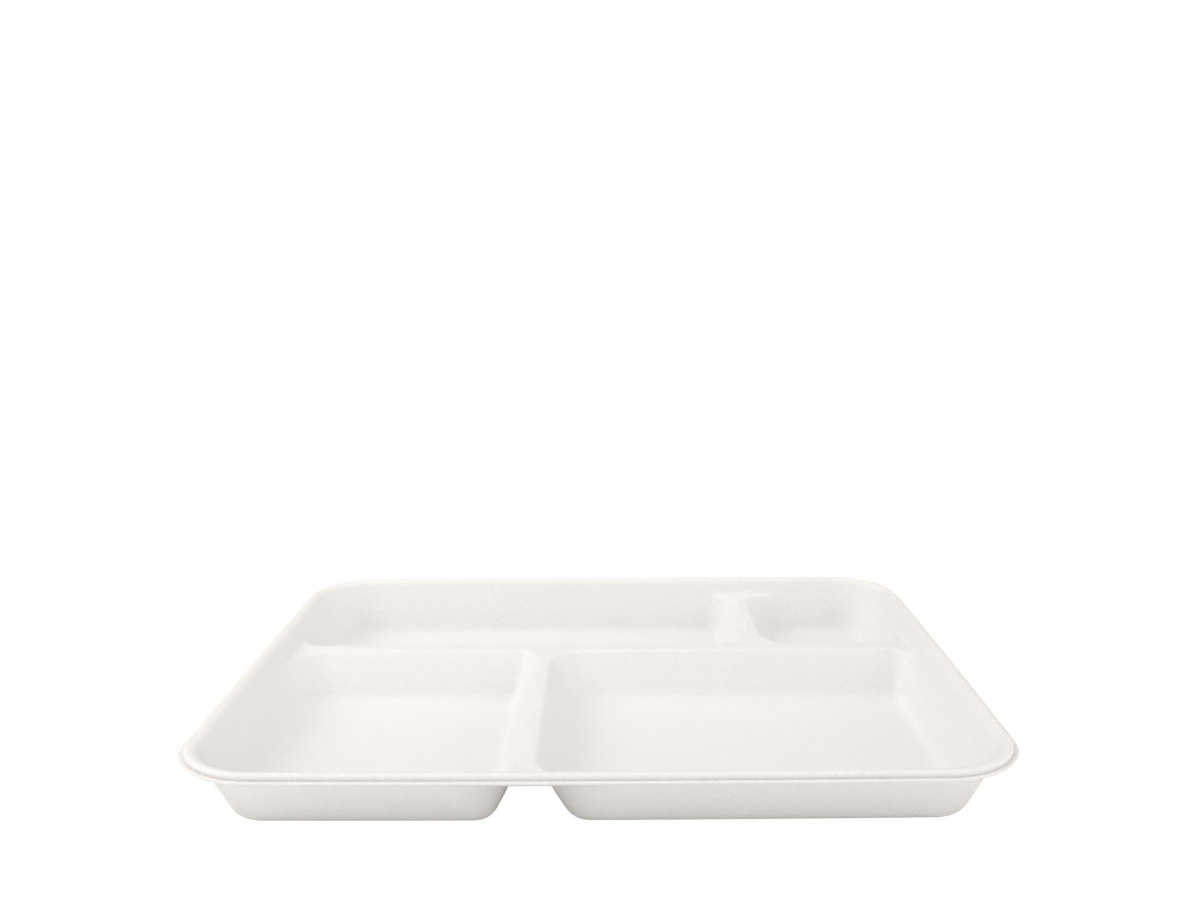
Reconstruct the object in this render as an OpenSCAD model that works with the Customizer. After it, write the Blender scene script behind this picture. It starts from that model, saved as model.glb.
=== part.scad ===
// Four-compartment meal tray, pressed as one piece from moulded plant fibre.
// X runs along the long side, Y from the near side to the far side, and Z is up.
// The origin is under the middle of the tray, on the plane that it stands on.

/* [Tray] */
// Overall width at the flange edge
tray_w = 268; // [250:1:300]
// Overall depth at the flange edge
tray_d = 216; // [200:1:240]
// Overall height from the standing plane to the rim crest
tray_h = 23; // [22:0.5:24.5]
// Thickness of the pressed fibre sheet, square to its surface
sheet_t = 0.8; // [0.6:0.1:1.1]
// Lean of every wall from the vertical, in degrees
draft = 27; // [20:1:28]
// Radius of the bend between a wall and a floor, on the underside
floor_bend = 6; // [4:0.5:8]

/* [Rim] */
// Plan radius of the four tray corners at the flange edge
corner_r = 28; // [24:1:34]
// Distance from the flange edge in to the outside of the wall, at flange level
rim_w = 5.5; // [5.5:0.1:7]
// Width of the flat flange outside the rolled rim
flange_w = 1.7; // [1:0.1:1.8]
// Thickness of the trimmed flange
flange_t = 0.7; // [0.5:0.1:0.9]
// Height of the rim crest above the top of the flange
crest_rise = 2; // [1.8:0.1:2.4]

/* [Dividers] */
// Height of the divider tops above the standing plane
divider_h = 16.5; // [15:0.5:17]
// Distance behind the tray's middle of the divider that runs across the tray
row_y = 26; // [10:1:30]
// Width across the top of that divider
row_w = 10; // [9:0.5:12]
// Position along X of the divider between the two near compartments
near_x = -22.5; // [-60:0.5:60]
// Position along X of the divider between the two far compartments
far_x = 63.5; // [-60:0.5:70]
// Width across the top of the two shorter dividers
short_w = 6.5; // [6:0.5:12]
// Plan radius of the compartment corners beside a divider, at flange level
join_r = 16; // [16:0.5:20]
// Plan radius of the near left compartment's far left corner, which is the widest of them
wide_r = 22; // [20:0.5:30]

/* [Hidden] */
$fn = 64;
fibre_white = [0.95, 0.94, 0.91];
// Straight steps that make up each rounded bend of the sheet
bend_steps = 5;
// Level of the flange's top, to which all plan sizes refer
flange_z = tray_h - crest_rise;
// Inward run of a wall for each millimetre that it drops
lean = tan(draft);
// Sheet thickness measured level across a leaning wall
level_t = sheet_t / cos(draft);
// Outside radius of the rim crest's outer bend, and of the bend into the wall
crest_out_r = 1.6;
crest_in_r = 2;
// Half width and half depth of the wall's outside at flange level
wall_x = tray_w / 2 - rim_w;
wall_y = tray_d / 2 - rim_w;
// Distance from a divider's middle to the outside of its wall, carried up to flange level
row_gap = row_w / 2 - wall_in(divider_h, 1);
short_gap = short_w / 2 - wall_in(divider_h, 1);
// Plan radius of the wall's outside at the tray's own corners
wall_r = corner_r - rim_w;

// Compartments at flange level: low corner, high corner, then the plan radii of the
// near left, near right, far right and far left corners
COMPARTMENTS = [
    [[-wall_x, -wall_y], [near_x - short_gap, row_y - row_gap], [wall_r, join_r, join_r, wide_r]],
    [[near_x + short_gap, -wall_y], [wall_x, row_y - row_gap], [join_r, wall_r, join_r, join_r]],
    [[-wall_x, row_y + row_gap], [far_x - short_gap, wall_y], [join_r, join_r, join_r, wall_r]],
    [[far_x + short_gap, row_y + row_gap], [wall_x, wall_y], [join_r, join_r, wall_r, join_r]],
];
INSIDE = [[-wall_x, -wall_y], [wall_x, wall_y], [wall_r, wall_r, wall_r, wall_r]];

// Rounds to a thousandth of a millimetre, so that solids that meet share their edges exactly
function snap(v) = round(v * 1000) / 1000;

// Inward distance of a skin of the wall from the outside at flange level, at height z.
// skin is 0 for the underside of the sheet and 1 for its top side.
function wall_in(z, skin) = snap(skin * level_t + lean * (flange_z - z));

// Points of an arc about c, from angle a to angle b
function arc(c, r, a, b) = [for (i = [0:bend_steps]) let (t = a + (b - a) * i / bend_steps)
    [snap(c[0] + r * cos(t)), snap(c[1] + r * sin(t))]];

// Cross-section of a compartment's side, from the wall in to reach, between z and the divider top
function side_section(z, top, skin, reach) = let (
        bend = floor_bend - skin * sheet_t,
        from_wall = wall_in(z + bend, skin) + bend / cos(draft)
    )
    concat([[reach, top], [wall_in(top, skin), top]],
        arc([from_wall, z + bend], bend, 180 + draft, 270), [[reach, z]]);

// Cross-section of a plain slab of the upper tray, with leaning edges
function slab_section(z, top, skin, reach) =
    [[reach, top], [wall_in(top, skin), top], [wall_in(z, skin), z], [reach, z]];

// Turns a cross-section about a plan corner of radius r
module corner(section, r) {
    rotate([0, 0, 180])
        rotate_extrude(angle = 90)
            polygon([for (p = section) [r - p[0], p[1]]]);
}

// Runs a cross-section straight along X for a length, with its inside towards +Y
module side(section, length) {
    rotate([90, 0, 90])
        linear_extrude(length)
            polygon(section);
}

// Plan of the middle of a compartment, inside its sides and corners
function notch(r) = r > join_r ? [[join_r, r], [r, r], [r, join_r]] : [[r, r]];
function middle(size, radii) = concat(
    notch(radii[0]),
    [for (p = notch(radii[1])) [size[0] - p[1], p[0]]],
    [for (p = notch(radii[2])) [size[0] - p[0], size[1] - p[1]]],
    [for (p = notch(radii[3])) [p[1], size[1] - p[0]]]);

// Basin with leaning walls, solid inside, from height z to top: its section runs along the four
// sides and round the four corners, about a plain middle. It is rounded at the foot, or plain.
module basin(area, z, top, skin, rounded) {
    size = area[1] - area[0];
    radii = area[2];
    places = [[0, 0], [size[0], 0], size, [0, size[1]]];
    translate([area[0][0], area[0][1], 0]) {
        for (i = [0:3]) {
            next = radii[(i + 1) % 4];
            length = (i % 2 == 0 ? size[0] : size[1]) - radii[i] - next;
            translate([places[i][0], places[i][1], 0])
                rotate([0, 0, 90 * i]) {
                    translate([radii[i], 0, 0])
                        side(section(z, top, skin, join_r, rounded), length);
                    translate([radii[i], radii[i], 0])
                        corner(section(z, top, skin, radii[i], rounded), radii[i]);
                }
        }
        translate([0, 0, z])
            linear_extrude(top - z)
                polygon(middle(size, radii));
    }
}

function section(z, top, skin, reach, rounded) = rounded
    ? side_section(z, top, skin, reach)
    : slab_section(z, top, skin, reach);

// Floors, walls and dividers up to the divider tops
module compartments() {
    difference() {
        union() {
            for (area = COMPARTMENTS)
                basin(area, 0, divider_h - sheet_t, 0, true);
            basin(INSIDE, divider_h - sheet_t, divider_h, 0, false);
        }
        for (area = COMPARTMENTS)
            basin(area, sheet_t, divider_h, 1, true);
    }
}

// Cross-section of the rim, from the flange edge over the crest and down the wall
function rim_section() = let (
        out_c = [flange_w + crest_out_r, tray_h - crest_out_r],
        in_z = tray_h - crest_in_r,
        in_c = [rim_w + wall_in(in_z, 1) - crest_in_r / cos(draft), in_z]
    )
    concat(
        [[0, flange_z], [flange_w, flange_z]],
        arc(out_c, crest_out_r, 180, 90),
        arc(in_c, crest_in_r, 90, draft),
        [for (skin = [1, 0]) [rim_w + wall_in(divider_h, skin), divider_h]],
        arc(in_c, crest_in_r - sheet_t, draft, 90),
        arc(out_c, crest_out_r - sheet_t, 90, 180),
        [[flange_w + sheet_t, flange_z - flange_t], [0, flange_z - flange_t]]);

// Rolled rim and flange, with the wall below it down to the divider tops
module rim() {
    size = [tray_w, tray_d];
    for (i = [0:3]) {
        along = size[i % 2];
        across = size[(i + 1) % 2];
        rotate([0, 0, 90 * i])
            translate([-along / 2, -across / 2, 0]) {
                translate([corner_r, 0, 0])
                    side(rim_section(), along - 2 * corner_r);
                translate([corner_r, corner_r, 0])
                    corner(rim_section(), corner_r);
            }
    }
}

// The whole pressed sheet
module tray() {
    color(fibre_white)
        union() {
            compartments();
            rim();
        }
}

tray();
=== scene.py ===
"""Looks of a four-compartment meal tray, pressed as one sheet from moulded plant fibre.

The tray is one closed mesh: a height field with real thickness, rolled over at the rim into
a trimmed flange. Sizes are millimetres until the mesh is made, and the origin is the frame's:
under the middle of the tray, on the plane that it stands on.
"""

import math

import bpy
import numpy as np
from mathutils import Matrix, Vector


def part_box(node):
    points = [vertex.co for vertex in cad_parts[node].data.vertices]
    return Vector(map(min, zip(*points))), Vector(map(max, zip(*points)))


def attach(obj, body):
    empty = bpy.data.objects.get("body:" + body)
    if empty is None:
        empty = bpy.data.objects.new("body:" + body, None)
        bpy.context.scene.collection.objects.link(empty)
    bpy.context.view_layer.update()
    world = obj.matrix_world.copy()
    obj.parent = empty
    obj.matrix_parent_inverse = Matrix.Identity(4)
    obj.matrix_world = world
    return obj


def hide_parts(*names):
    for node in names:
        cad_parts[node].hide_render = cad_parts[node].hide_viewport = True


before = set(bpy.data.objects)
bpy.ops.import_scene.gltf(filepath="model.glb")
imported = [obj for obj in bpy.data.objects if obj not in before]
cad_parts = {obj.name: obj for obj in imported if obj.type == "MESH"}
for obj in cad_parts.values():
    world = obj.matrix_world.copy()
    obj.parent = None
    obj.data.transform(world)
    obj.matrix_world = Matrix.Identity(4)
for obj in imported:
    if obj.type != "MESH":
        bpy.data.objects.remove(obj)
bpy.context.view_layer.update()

MM = 0.001                # a millimetre in metres
TINY = 1e-6               # lengths below this count as nothing

# ---------------------------------------------------------------- driving sizes (mm)
low, high = (np.array(corner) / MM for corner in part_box("tray"))
HALF_W, HALF_D = (high[:2] - low[:2]) / 2
TRAY_H = high[2] - low[2]

# Sheet and walls: a lean is an angle from the vertical
SHEET_T = 0.8             # thickness of the pressed sheet
DRAFT = math.radians(27)  # lean of the outer walls
ROW_DRAFT = math.radians(43)  # lean of the long divider's walls
LEFT_DRAFT = math.radians(30)  # lean of a short divider's left wall
RIGHT_DRAFT = math.radians(37)  # lean of its right wall
FLOOR_BEND = 4.0          # radius between a wall and a floor, on the top side
CORNER_R = 28.0           # plan radius of the tray's corners at the flange edge
BOW_LONG = 1.3            # how far the near side's ends are drawn in from its middle
BOW_SHORT = 0.7           # the same for the left and right sides

# Rim
RIM_W = 5.5               # flange edge to the outside of the wall, at flange level
FLANGE_W = 1.7            # width of the flat flange outside the rolled rim
FLANGE_T = 0.7
FLANGE_Z = TRAY_H - 2.0   # top of the flange
EDGE_CUT = 0.12           # bevel on the flange's cut edge
EDGE_LEAN = 0.3           # how much less the flange's underside reaches out than its top
CREASE_OUT, CREASE_IN = 0.1, 0.2  # pressed line along the bead's foot, each side of it
CREASE_DEPTH = 0.15
BEAD_R = 1.1              # outer bend of the rolled rim
BEAD_TUCK = 35            # how far the bead tucks under, in degrees
CREST_OUT_R = 1.6         # the rolled rim's outer bend as the underside follows it
CREST_IN_R = 4.2          # its bend into the wall
HOOK_R = 0.55             # bend of the underside from the flange up into the rolled rim

# Dividers
DIVIDER_Z = TRAY_H - 6.5  # top of the dividers
ROW_Y, ROW_W = 26.0, 7.6  # place and top width of the divider across the tray
NEAR_X, FAR_X, SHORT_W = -22.6, 63.7, 4.8  # the same for the two short ones
SOFTEN = 0.55             # spread of the rounding along the divider tops and their ends

# How much slower a divider's wall drops than an outer wall
LEAN = math.tan(DRAFT)
ROW_EASE, LEFT_EASE, RIGHT_EASE = (
    LEAN / math.tan(draft) for draft in (ROW_DRAFT, LEFT_DRAFT, RIGHT_DRAFT)
)

# The walls' outside at flange level, and the sheet's thickness measured level across a wall
WALL_X, WALL_Y, WALL_R = HALF_W - RIM_W, HALF_D - RIM_W, CORNER_R - RIM_W
LEVEL_T = SHEET_T / math.cos(DRAFT)

# Corners of the compartments: plan radius at flange level, and how fast it shrinks with depth
TRAY_NEAR, TRAY_FAR = (WALL_R, 1.0), (WALL_R, 1.25)
JOIN = (10.0, 0.7)        # where two dividers meet, or a divider meets the tray's side
WIDE = (16.0, 0.8)        # near left compartment, far left corner
FLARE_LEFT, FLARE_RIGHT = (29.0, 2.1), (27.0, 2.0)  # each side of the near divider's near end
SPREAD = (16.0, 1.0)      # each side of the far divider's far end

# Grid: distances in are from the flange edge
REACH_X, REACH_Y = 21.5, 22.5  # half width of what a short divider shapes, and the long one
FINE, COARSE = 0.7, 3.2   # spacing of the lines in such a stretch, and between them
EDGE_IN = 7.2             # where the rim's own section hands over to the height field
FOOT_IN = 21.6            # just past the foot of the outer walls
BAND_COARSE = 2.2         # spacing of the lines further in than that
CORNER_STEPS = 32         # lines round each of the tray's corners

# The fibre's look: sizes in mm, colours as reflectance
PULP_DARK, PULP_LIGHT = (0.753, 0.726, 0.698), (0.803, 0.781, 0.757)
PULP_RANGE = (0.32, 0.68)  # stretch of the mottle that turns the one into the other
GRAIN_SHARE = 0.85        # the grain's part in the mottle; the clouds make up the rest
FLECK_COLOUR, FLECKS = (0.62, 0.55, 0.46), 0.35  # browner strands, and how strongly they show
FLECK_RANGE = (0.66, 0.74)
CLOUD, GRAIN = 14.0, 0.9  # size of the clouds and of the grain
STRAND_THIN = 7.0         # how many times longer than thick a strand is
STRAND_TURNS = (20, 80, 140)  # ways that the strands lie, in degrees
DIMPLE_DEPTH, GRAIN_DEPTH, STRAND_DEPTH = 0.02, 0.035, 0.045
SCREEN_PITCH, SCREEN_DEPTH = 0.9, 0.02  # weave of the forming screen, on the underside
SPECULAR = 0.35
ROUGHNESS, STRAND_ROUGHNESS = 0.38, 0.3  # between the strands, and how much they add to it


# ---------------------------------------------------------------- the pressed surface
def wall_in(z):
    """Inward distance of the wall's top side from its outside at flange level."""
    return LEVEL_T + LEAN * (FLANGE_Z - z)


def wall_height(depth):
    """Height of the wall's top side, the reverse of wall_in."""
    return FLANGE_Z - (depth - LEVEL_T) / LEAN


def basin_height(depth):
    """Height of the top side: leaning wall, round bend, flat floor."""
    bend_in = wall_in(SHEET_T + FLOOR_BEND) + FLOOR_BEND / math.cos(DRAFT)
    across = np.clip(bend_in - depth, 0, FLOOR_BEND * math.cos(DRAFT))
    bend = SHEET_T + FLOOR_BEND - np.sqrt(FLOOR_BEND**2 - across**2)
    return np.where(depth < bend_in - FLOOR_BEND * math.cos(DRAFT), wall_height(depth), bend)


def outline_depth(x, y, low_corner, high_corner, corners, eases=(1, 1, 1, 1)):
    """How far inside a rounded rectangle each point is.

    corners are for the near left, near right, far right and far left: the radius at depth 0
    and how much of it goes with each millimetre of depth. eases are for the left, near, right
    and far sides: a side with an ease below 1 counts distance from it slower."""
    centre = (np.array(low_corner) + high_corner) / 2
    half = (np.array(high_corner) - low_corner) / 2
    left, near = x < centre[0], y < centre[1]
    radius, shrink = (
        np.where(near, np.where(left, c[0], c[1]), np.where(left, c[3], c[2]))
        for c in np.transpose(corners)
    )
    a = (half[0] - np.abs(x - centre[0])) * np.where(left, eases[0], eases[2])
    b = (half[1] - np.abs(y - centre[1])) * np.where(near, eases[1], eases[3])
    # Depth d of the arc through the point: (p - m d)^2 + (q - m d)^2 = (radius - shrink d)^2
    p, q, m = radius - a, radius - b, shrink - 1
    square = 2 * m**2 - shrink**2
    linear = 2 * (shrink * radius - m * (p + q))
    rest = p**2 + q**2 - radius**2
    d = (np.sqrt(np.maximum(linear**2 - 4 * square * rest, 0)) - linear) / (2 * square)
    on_arc = (p > m * d) & (q > m * d) & (radius > shrink * d)
    return np.where(on_arc, d, np.minimum(a, b))


def compartments():
    """Outline of each compartment at flange level: low corner, high corner, corners and eases."""
    drop = wall_in(DIVIDER_Z)
    near_top = ROW_Y - ROW_W / 2 + drop / ROW_EASE
    far_low = ROW_Y + ROW_W / 2 - drop / ROW_EASE
    to_left = SHORT_W / 2 - drop / LEFT_EASE
    to_right = SHORT_W / 2 - drop / RIGHT_EASE
    return [
        (
            (-WALL_X, -WALL_Y), (NEAR_X - to_left, near_top),
            (TRAY_NEAR, FLARE_LEFT, JOIN, WIDE), (1, 1, LEFT_EASE, ROW_EASE),
        ),
        (
            (NEAR_X + to_right, -WALL_Y), (WALL_X, near_top),
            (FLARE_RIGHT, TRAY_NEAR, JOIN, JOIN), (RIGHT_EASE, 1, 1, ROW_EASE),
        ),
        (
            (-WALL_X, far_low), (FAR_X - to_left, WALL_Y),
            (JOIN, JOIN, SPREAD, TRAY_FAR), (1, ROW_EASE, LEFT_EASE, 1),
        ),
        (
            (FAR_X + to_right, far_low), (WALL_X, WALL_Y),
            (JOIN, JOIN, TRAY_FAR, SPREAD), (RIGHT_EASE, ROW_EASE, 1, 1),
        ),
    ]


def sharp_height(x, y):
    """The top side with its floor bends, before the divider tops and their ends are rounded."""
    basins = [basin_height(outline_depth(x, y, *outline)) for outline in compartments()]
    inside = outline_depth(
        x, y, (-WALL_X, -WALL_Y), (WALL_X, WALL_Y), (TRAY_NEAR, TRAY_NEAR, TRAY_FAR, TRAY_FAR)
    )
    return np.maximum(np.minimum(np.minimum.reduce(basins), DIVIDER_Z), wall_height(inside))


def soft_height(x, y):
    """The rounded top side and its slopes, as an average of the sharp one about each point."""
    steps = np.arange(-4, 5) / 2  # in spreads, out to two of them each way
    weight = np.exp(-steps**2 / 2)
    weight /= weight.sum()
    slope = steps * weight / (steps**2 * weight).sum() / SOFTEN
    z, zx, zy = np.zeros_like(x), np.zeros_like(x), np.zeros_like(x)
    for i, across in enumerate(steps * SOFTEN):
        for j, along in enumerate(steps * SOFTEN):
            h = sharp_height(x + across, y + along)
            z += weight[i] * weight[j] * h
            zx += slope[i] * weight[j] * h
            zy += weight[i] * slope[j] * h
    return z, zx, zy


def surface_points(x, y):
    """Top side and underside of the sheet over plan points."""
    z, zx, zy = soft_height(x, y)
    top = np.stack([x, y, z], axis=-1)
    normal = np.stack([-zx, -zy, np.ones_like(zx)], axis=-1)
    normal /= np.linalg.norm(normal, axis=-1, keepdims=True)
    return top, top - SHEET_T * normal


# ---------------------------------------------------------------- the rim
def arc(centre, radius, start, stop, count):
    """Points of an arc from one angle to another, in degrees, count steps apart."""
    angles = np.radians(np.linspace(start, stop, count + 1))
    return [(centre[0] + radius * math.cos(a), centre[1] + radius * math.sin(a)) for a in angles]


def rim_sections():
    """(distance in, height) rows from the cut edge inwards, for the top side and the underside."""
    draft = math.degrees(DRAFT)
    bead_c = (FLANGE_W + BEAD_R, TRAY_H - BEAD_R)
    out_c = (FLANGE_W + CREST_OUT_R, TRAY_H - CREST_OUT_R)
    in_z = TRAY_H - CREST_IN_R
    in_c = (RIM_W + wall_in(in_z) - CREST_IN_R / math.cos(DRAFT), in_z)
    base = FLANGE_Z - FLANGE_T
    hook_c = (FLANGE_W + SHEET_T - HOOK_R, base + HOOK_R)

    top = [(0, FLANGE_Z - EDGE_CUT), (EDGE_CUT, FLANGE_Z), (FLANGE_W / 2, FLANGE_Z)]
    top += [(FLANGE_W - CREASE_OUT, FLANGE_Z), (FLANGE_W + CREASE_IN, FLANGE_Z - CREASE_DEPTH)]
    top += arc(bead_c, BEAD_R, 180 + BEAD_TUCK, 90, count=10)
    top += arc(in_c, CREST_IN_R, 90, draft, count=8)

    under = [(EDGE_LEAN, base + EDGE_CUT), (EDGE_LEAN + EDGE_CUT, base), (FLANGE_W / 2, base)]
    under += arc(hook_c, HOOK_R, 270, 360, count=4)
    under += arc(out_c, CREST_OUT_R - SHEET_T, 180, 90, count=6)
    under += arc(in_c, CREST_IN_R - SHEET_T, 90, draft, count=6)
    return top, under


# ---------------------------------------------------------------- grid lines
def graded(start, stop, busy, fine, coarse):
    """Lines from start to stop, fine across the busy stretches and coarse between them."""
    edges = [start] + [edge for stretch in busy for edge in stretch] + [stop]
    lines = []
    for i, (a, b) in enumerate(zip(edges, edges[1:])):
        if b - a < TINY:
            continue
        step = fine if i % 2 else coarse
        count = max(1, math.ceil((b - a) / step))
        lines += list(a + (b - a) * np.arange(count) / count)
    return np.array(lines + [stop])


# Across the core rectangle, between the centres of the tray's corners
core_x, core_y = HALF_W - CORNER_R, HALF_D - CORNER_R
busy_x = [(x - REACH_X, x + REACH_X) for x in (NEAR_X, FAR_X)]
busy_y = [(ROW_Y - REACH_Y, ROW_Y + REACH_Y)]
x_lines = graded(-core_x, core_x, busy_x, FINE, COARSE)
y_lines = graded(-core_y, core_y, busy_y, FINE, COARSE)

# Round the band outside it, as distances in; the last of them is the core's own edge
field_in = graded(EDGE_IN, CORNER_R, [(EDGE_IN, FOOT_IN)], FINE, BAND_COARSE)[:-1]


def perimeter():
    """Foot points on the core rectangle and outward directions, once round from the near left."""
    turns = np.radians(90) * np.arange(1, CORNER_STEPS) / CORNER_STEPS
    feet, out = [], []
    sides = [
        [(x, -core_y) for x in x_lines],
        [(core_x, y) for y in y_lines],
        [(x, core_y) for x in x_lines[::-1]],
        [(-core_x, y) for y in y_lines[::-1]],
    ]
    for i, side in enumerate(sides):
        heading = math.radians(90) * (i - 1)
        feet += side
        out += [(math.cos(heading), math.sin(heading))] * len(side)
        feet += [side[-1]] * len(turns)
        out += [(math.cos(heading + t), math.sin(heading + t)) for t in turns]
    return np.array(feet), np.round(np.array(out), 12)


# ---------------------------------------------------------------- mesh
def skin(rim_rows, field, core, flip, offset):
    """One side of the sheet: rows of the rim, rows of the band, then the core grid.

    field and core hold 3-D points, flip turns the faces over, and offset is the index of the
    first point. Returns the points, the faces and the first row's indices."""
    feet, out = perimeter()
    around = len(feet)
    points, faces, rows = [], [], []

    def add_face(*corners):
        faces.append(corners[::-1] if flip else corners)

    for d, z in rim_rows:
        rows.append(offset + len(points) + np.arange(around))
        points += [(x, y, z) for x, y in feet + out * (CORNER_R - d)]
    for row in field:
        rows.append(offset + len(points) + np.arange(around))
        points += [tuple(p) for p in row]
    nx, ny = len(x_lines), len(y_lines)
    grid = offset + len(points) + np.arange(nx * ny).reshape(ny, nx)
    points += [tuple(p) for p in core.reshape(-1, 3)]
    i = np.searchsorted(x_lines, feet[:, 0] - TINY)
    j = np.searchsorted(y_lines, feet[:, 1] - TINY)
    rows.append(grid[j, i])

    for a, b in zip(rows, rows[1:]):
        for k in range(around):
            n = (k + 1) % around
            if b[n] == b[k]:
                add_face(a[k], a[n], b[n])
            else:
                add_face(a[k], a[n], b[n], b[k])
    for a, b in zip(grid, grid[1:]):
        for k in range(nx - 1):
            add_face(a[k], a[k + 1], b[k + 1], b[k])
    return points, faces, rows[0]


def bowed(points):
    """Bends the near side and the two ends slightly outwards by drawing in their own ends."""
    x, y = points[:, 0] / HALF_W, points[:, 1] / HALF_D
    in_x = -BOW_SHORT * x * y**2
    in_y = BOW_LONG * x**2 * ((1 - y) / 2) ** 2
    return points + np.stack([in_x, in_y, np.zeros_like(x)], axis=-1)


def add_object(name, mesh):
    thing = bpy.data.objects.new(name, mesh)
    bpy.context.scene.collection.objects.link(thing)
    return thing


def build_tray():
    feet, out = perimeter()
    band = feet[None] + out[None] * (CORNER_R - field_in)[:, None, None]
    band_top, band_under = surface_points(band[..., 0], band[..., 1])
    core_top, core_under = surface_points(*np.meshgrid(x_lines, y_lines))
    top_rows, under_rows = rim_sections()
    points, faces, top_edge = skin(top_rows, band_top, core_top, False, 0)
    more, more_faces, under_edge = skin(under_rows, band_under, core_under, True, len(points))
    n = len(top_edge)
    cut_edge = [
        (top_edge[(k + 1) % n], top_edge[k], under_edge[k], under_edge[(k + 1) % n])
        for k in range(n)
    ]
    mesh = bpy.data.meshes.new("moulded_tray")
    mesh.from_pydata(bowed(np.array(points + more)) * MM, [], faces + more_faces + cut_edge)
    mesh.validate()
    mesh.shade_smooth()
    screen_side = [0] * len(faces) + [1] * len(more_faces) + [0] * len(cut_edge)
    mesh.polygons.foreach_set("material_index", screen_side)
    return add_object("moulded_tray", mesh)


# ---------------------------------------------------------------- material
def math_node(tree, operation, first, second, third=0.0):
    """Result of a Math node whose inputs are numbers or other nodes' outputs."""
    node = tree.nodes.new("ShaderNodeMath")
    node.operation = operation
    for socket, value in zip(node.inputs, (first, second, third)):
        if isinstance(value, (int, float)):
            socket.default_value = value
        else:
            tree.links.new(value, socket)
    return node.outputs[0]


def fibre_material(name, screen_depth):
    """Dry pressed pulp: warm white, clouded and faintly fibrous, with a low soft sheen.

    screen_depth is how deep the forming screen's weave is printed in it, in millimetres."""
    mat = bpy.data.materials.new(name)
    mat.use_nodes = True
    tree = mat.node_tree
    nodes, links = tree.nodes, tree.links
    shader = nodes["Principled BSDF"]
    shader.inputs["Specular IOR Level"].default_value = SPECULAR
    place = nodes.new("ShaderNodeTexCoord").outputs["Object"]

    def noise(grain, detail, stretch=(1, 1, 1), turn=0):
        """Noise whose features are about grain millimetres across."""
        mapping = nodes.new("ShaderNodeMapping")
        mapping.inputs["Scale"].default_value = stretch
        mapping.inputs["Rotation"].default_value[2] = math.radians(turn)
        links.new(place, mapping.inputs["Vector"])
        texture = nodes.new("ShaderNodeTexNoise")
        texture.inputs["Scale"].default_value = 1 / (grain * MM)
        texture.inputs["Detail"].default_value = detail
        links.new(mapping.outputs[0], texture.inputs["Vector"])
        return texture.outputs["Fac"]

    def ramp(value, places, colours):
        """Colour that goes from one to the other as the value goes between two places."""
        node = nodes.new("ShaderNodeValToRGB")
        for stop, position, colour in zip(node.color_ramp.elements, places, colours):
            stop.position = position
            stop.color = (*colour, 1)
        links.new(value, node.inputs["Fac"])
        return node.outputs["Color"]

    cloud = noise(CLOUD, 3)
    grain = noise(GRAIN, 4)
    strands = [noise(GRAIN, 2, stretch=(1, STRAND_THIN, 1), turn=turn) for turn in STRAND_TURNS]
    longest = strands[0]
    for other in strands[1:]:
        longest = math_node(tree, "MAXIMUM", longest, other)

    # Colour: clouds with the grain on them, and a few strands of darker, browner fibre
    mottle = math_node(tree, "MULTIPLY", cloud, 1 - GRAIN_SHARE)
    mottle = math_node(tree, "MULTIPLY_ADD", grain, GRAIN_SHARE, mottle)
    flecks = nodes.new("ShaderNodeMix")
    flecks.data_type = "RGBA"
    show = ramp(longest, FLECK_RANGE, ((0, 0, 0), (FLECKS,) * 3))
    links.new(show, flecks.inputs["Factor"])
    links.new(ramp(mottle, PULP_RANGE, (PULP_DARK, PULP_LIGHT)), flecks.inputs["A"])
    flecks.inputs["B"].default_value = (*FLECK_COLOUR, 1)
    links.new(flecks.outputs["Result"], shader.inputs["Base Color"])

    # Sheen: rougher where the strands stand proud
    rough = math_node(tree, "MULTIPLY_ADD", longest, STRAND_ROUGHNESS, ROUGHNESS)
    links.new(rough, shader.inputs["Roughness"])

    # Relief in metres: slow dimpling from the mould, grain, strands and the screen's weave
    relief = math_node(tree, "MULTIPLY", cloud, DIMPLE_DEPTH * MM)
    relief = math_node(tree, "MULTIPLY_ADD", grain, GRAIN_DEPTH * MM, relief)
    relief = math_node(tree, "MULTIPLY_ADD", longest, STRAND_DEPTH * MM, relief)
    if screen_depth:
        split = nodes.new("ShaderNodeSeparateXYZ")
        links.new(place, split.inputs[0])
        for axis in ("X", "Y"):
            turn = 2 * math.pi / (SCREEN_PITCH * MM)
            wire = math_node(tree, "MULTIPLY", split.outputs[axis], turn)
            wire = math_node(tree, "SINE", wire, 0)
            relief = math_node(tree, "MULTIPLY_ADD", wire, screen_depth / 4 * MM, relief)
    bump = nodes.new("ShaderNodeBump")
    bump.inputs["Distance"].default_value = 1
    links.new(relief, bump.inputs["Height"])
    links.new(bump.outputs["Normal"], shader.inputs["Normal"])
    return mat


tray = build_tray()
tray.data.materials.append(fibre_material("moulded_fibre", 0))
tray.data.materials.append(fibre_material("moulded_fibre_screen_side", SCREEN_DEPTH))
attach(tray, "root")
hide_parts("tray")


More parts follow.
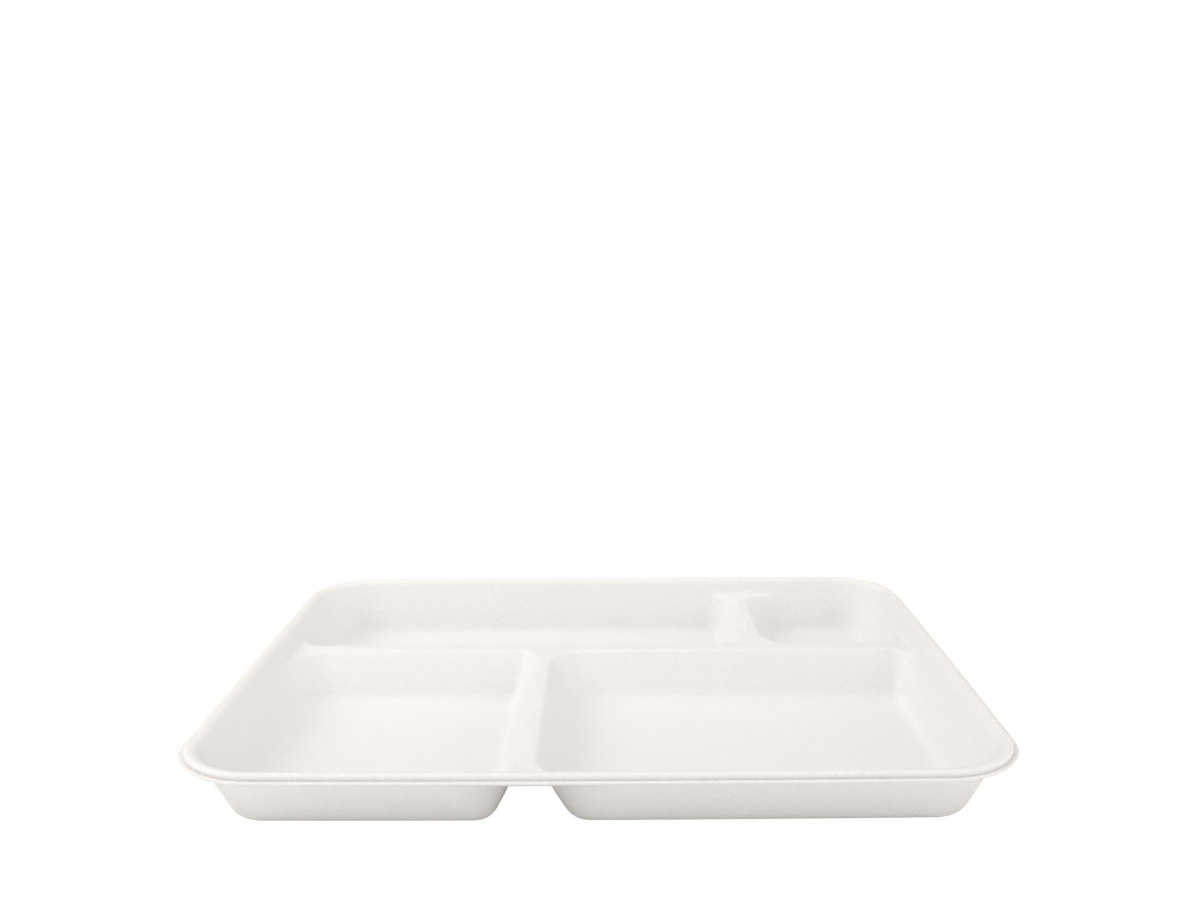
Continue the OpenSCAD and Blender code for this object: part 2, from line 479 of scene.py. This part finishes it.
# ---------------------------------------------------------------- studio (metres)
# Soft lights far away: the way to each, how tightly it is gathered, and its strength
FAR_LIGHTS = [
    ((0, 0, 1), 12, 2.2),
    ((-0.8, 0, 0.6), 12, 1.55),
    ((-0.6, 0.5, 0.62), 12, 0.95),
    ((0, 0.7, 0.7), 12, 0.8),
    ((0, -1, 0.1), 3, 1.0),
    ((0, -1, 0), 12, 1.7),
    ((-1, 0, 0.25), 3, 0.5),
    ((1, 0, 0.25), 3, 1.8),
]
LAMP_AT, LAMP_SIZE, LAMP_WATTS = (-0.55, -0.05, 0.5), 0.5, 1.1
BACKDROP = 1.1            # brightness of the backdrop as the camera sees it
LIFT = 0.9                # how far the camera sees the floor washed out to the backdrop
FLOOR_HALF, FLOOR_Z = 6.0, -0.05 * MM  # just clear of the tray's foot
FLOOR_COLOUR, FLOOR_ROUGHNESS, FLOOR_SPECULAR = (0.93, 0.93, 0.925), 0.9, 0.1
LENS, SENSOR = 35.52, 36  # in millimetres
CAMERA_AT, CAMERA_SHIFT = (0.0057, -0.4370, 0.1783), -0.0135
CAMERA_DOWN, CAMERA_ROLL = 9.79, -0.29  # tilt below the level, and turn about its own axis
CAMERA_NEAREST = 0.01


def camera_ray(tree):
    """1 for what the camera sees directly, and 0 for all other light."""
    return tree.nodes.new("ShaderNodeLightPath").outputs["Is Camera Ray"]


def mix_shaders(tree, share, first, second):
    mix = tree.nodes.new("ShaderNodeMixShader")
    for socket, value in zip(mix.inputs, (share, first, second)):
        tree.links.new(value, socket)
    return mix.outputs[0]


def build_floor():
    """A white table, washed out for the camera so that only a faint contact shadow stays."""
    mesh = bpy.data.meshes.new("floor")
    signs = [(-1, -1), (1, -1), (1, 1), (-1, 1)]
    corners = [(i * FLOOR_HALF, j * FLOOR_HALF, FLOOR_Z) for i, j in signs]
    mesh.from_pydata(corners, [], [(0, 1, 2, 3)])
    floor = add_object("floor", mesh)
    mat = bpy.data.materials.new("floor")
    mat.use_nodes = True
    tree = mat.node_tree
    shader = tree.nodes["Principled BSDF"]
    shader.inputs["Base Color"].default_value = (*FLOOR_COLOUR, 1)
    shader.inputs["Roughness"].default_value = FLOOR_ROUGHNESS
    shader.inputs["Specular IOR Level"].default_value = FLOOR_SPECULAR
    wash = tree.nodes.new("ShaderNodeEmission")
    wash.inputs["Strength"].default_value = BACKDROP
    share = math_node(tree, "MULTIPLY", camera_ray(tree), LIFT)
    mix = mix_shaders(tree, share, shader.outputs[0], wash.outputs[0])
    tree.links.new(mix, tree.nodes["Material Output"].inputs["Surface"])
    mesh.materials.append(mat)


def build_world():
    """The far lights, behind a plain white backdrop."""
    world = bpy.data.worlds.new("studio")
    world.use_nodes = True
    tree = world.node_tree
    nodes, links = tree.nodes, tree.links
    way = nodes.new("ShaderNodeTexCoord").outputs["Generated"]
    total = 0.0
    for aim, gather, strength in FAR_LIGHTS:
        toward = nodes.new("ShaderNodeVectorMath")
        toward.operation = "DOT_PRODUCT"
        toward.inputs[1].default_value = Vector(aim).normalized()
        links.new(way, toward.inputs[0])
        facing = math_node(tree, "MAXIMUM", toward.outputs["Value"], 0)
        lobe = math_node(tree, "POWER", facing, gather)
        total = math_node(tree, "MULTIPLY_ADD", lobe, strength, total)
    lights, backdrop = nodes["Background"], nodes.new("ShaderNodeBackground")
    for background in (lights, backdrop):
        background.inputs["Color"].default_value = (1, 1, 1, 1)
    links.new(total, lights.inputs["Strength"])
    backdrop.inputs["Strength"].default_value = BACKDROP
    mix = mix_shaders(tree, camera_ray(tree), lights.outputs[0], backdrop.outputs[0])
    links.new(mix, nodes["World Output"].inputs["Surface"])
    bpy.context.scene.world = world


def build_lamp():
    """A round softbox near the tray, up on the left, aimed at the origin."""
    light = bpy.data.lights.new("softbox", "AREA")
    light.shape = "DISK"
    light.size = LAMP_SIZE
    light.energy = LAMP_WATTS
    lamp = add_object("softbox", light)
    lamp.location = LAMP_AT
    lamp.rotation_euler = (-lamp.location).to_track_quat("-Z", "Y").to_euler()


def build_camera():
    camera = add_object("camera", bpy.data.cameras.new("camera"))
    camera.data.lens = LENS
    camera.data.sensor_width = SENSOR
    camera.data.shift_x = CAMERA_SHIFT
    camera.data.clip_start = CAMERA_NEAREST
    camera.location = CAMERA_AT
    pitch = Matrix.Rotation(math.radians(90 - CAMERA_DOWN), 3, "X")
    roll = Matrix.Rotation(math.radians(CAMERA_ROLL), 3, "Z")
    camera.rotation_euler = (pitch @ roll).to_euler()
    bpy.context.scene.camera = camera


build_floor()
build_world()
build_lamp()
build_camera()
bpy.context.scene.view_settings.view_transform = "Standard"
